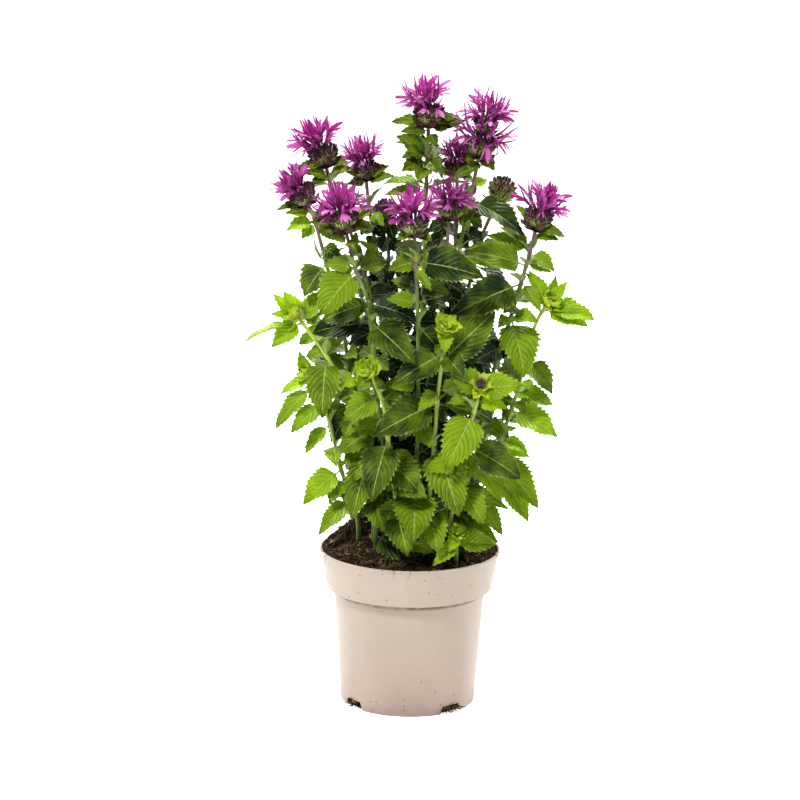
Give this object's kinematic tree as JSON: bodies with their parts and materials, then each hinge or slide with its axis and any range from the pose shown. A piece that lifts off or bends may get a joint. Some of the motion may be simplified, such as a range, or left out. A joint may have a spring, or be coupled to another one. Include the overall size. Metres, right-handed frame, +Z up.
{
  "type": "potted flowering bee balm plant",
  "caption": "Clump of square stems with toothed leaves in pairs and shaggy purple flower heads, growing in dark soil in a round nursery pot.",
  "frame": {"origin": "middle of the pot's underside, on the surface that it stands on", "axes": "+Z up along the pot's axis, +X to the right seen from the front, and the front faces -Y"},
  "size_m": [0.3643, 0.2424, 0.6589],
  "materials": {
    "pot": "thin moulded plastic in warm pale taupe, satin, with fine scuffs and specks of soil",
    "soil": "moist dark brown potting soil, crumbly, with bark, fibres and fine roots",
    "leaf": "mid to dark green toothed leaves with sunk veins, on square green to purple-brown stems with fine hairs",
    "young_leaf": "fresh lime to mid green leaves and soft green stems, slightly see-through",
    "calyx": "packed ribbed green tubes with purple teeth, over purple-brown and green bracts",
    "closed_head": "closed head of brown-green tubes that haven't opened",
    "floret": "thin magenta-purple two-lipped florets, paler at the throat, with fine stamens"
  },
  "bodies": {
    "root": {"pot": "pot", "soil": "soil", "florets_1": "floret", "florets_2": "floret", "florets_2_upper": "floret", "florets_3": "floret", "florets_4": "floret", "florets_5": "floret", "florets_6": "floret", "florets_7": "floret", "florets_8": "floret", "florets_9": "floret", "florets_10": "floret", "calyx_1": "calyx", "calyx_2": "calyx", "calyx_2_upper": "calyx", "calyx_3": "calyx", "calyx_4": "calyx", "calyx_5": "calyx", "calyx_6": "calyx", "calyx_7": "calyx", "calyx_8": "calyx", "calyx_9": "calyx", "calyx_10": "calyx", "calyx_11": "closed_head", "calyx_12": "closed_head", "calyx_young_4": "closed_head", "stem_1": "leaf", "stem_2": "leaf", "stem_3": "leaf", "stem_4": "leaf", "stem_5": "leaf", "stem_6": "leaf", "stem_7": "leaf", "stem_8": "leaf", "stem_9": "leaf", "stem_10": "leaf", "stem_11": "leaf", "stem_12": "leaf", "shoot_1": "young_leaf", "shoot_2": "young_leaf", "shoot_3": "young_leaf", "shoot_4": "young_leaf", "shoot_5": "young_leaf", "shoot_6": "young_leaf", "shoot_7": "young_leaf", "shoot_8": "young_leaf", "shoot_9": "young_leaf", "shoot_10": "young_leaf"}
  },
  "joints": []
}
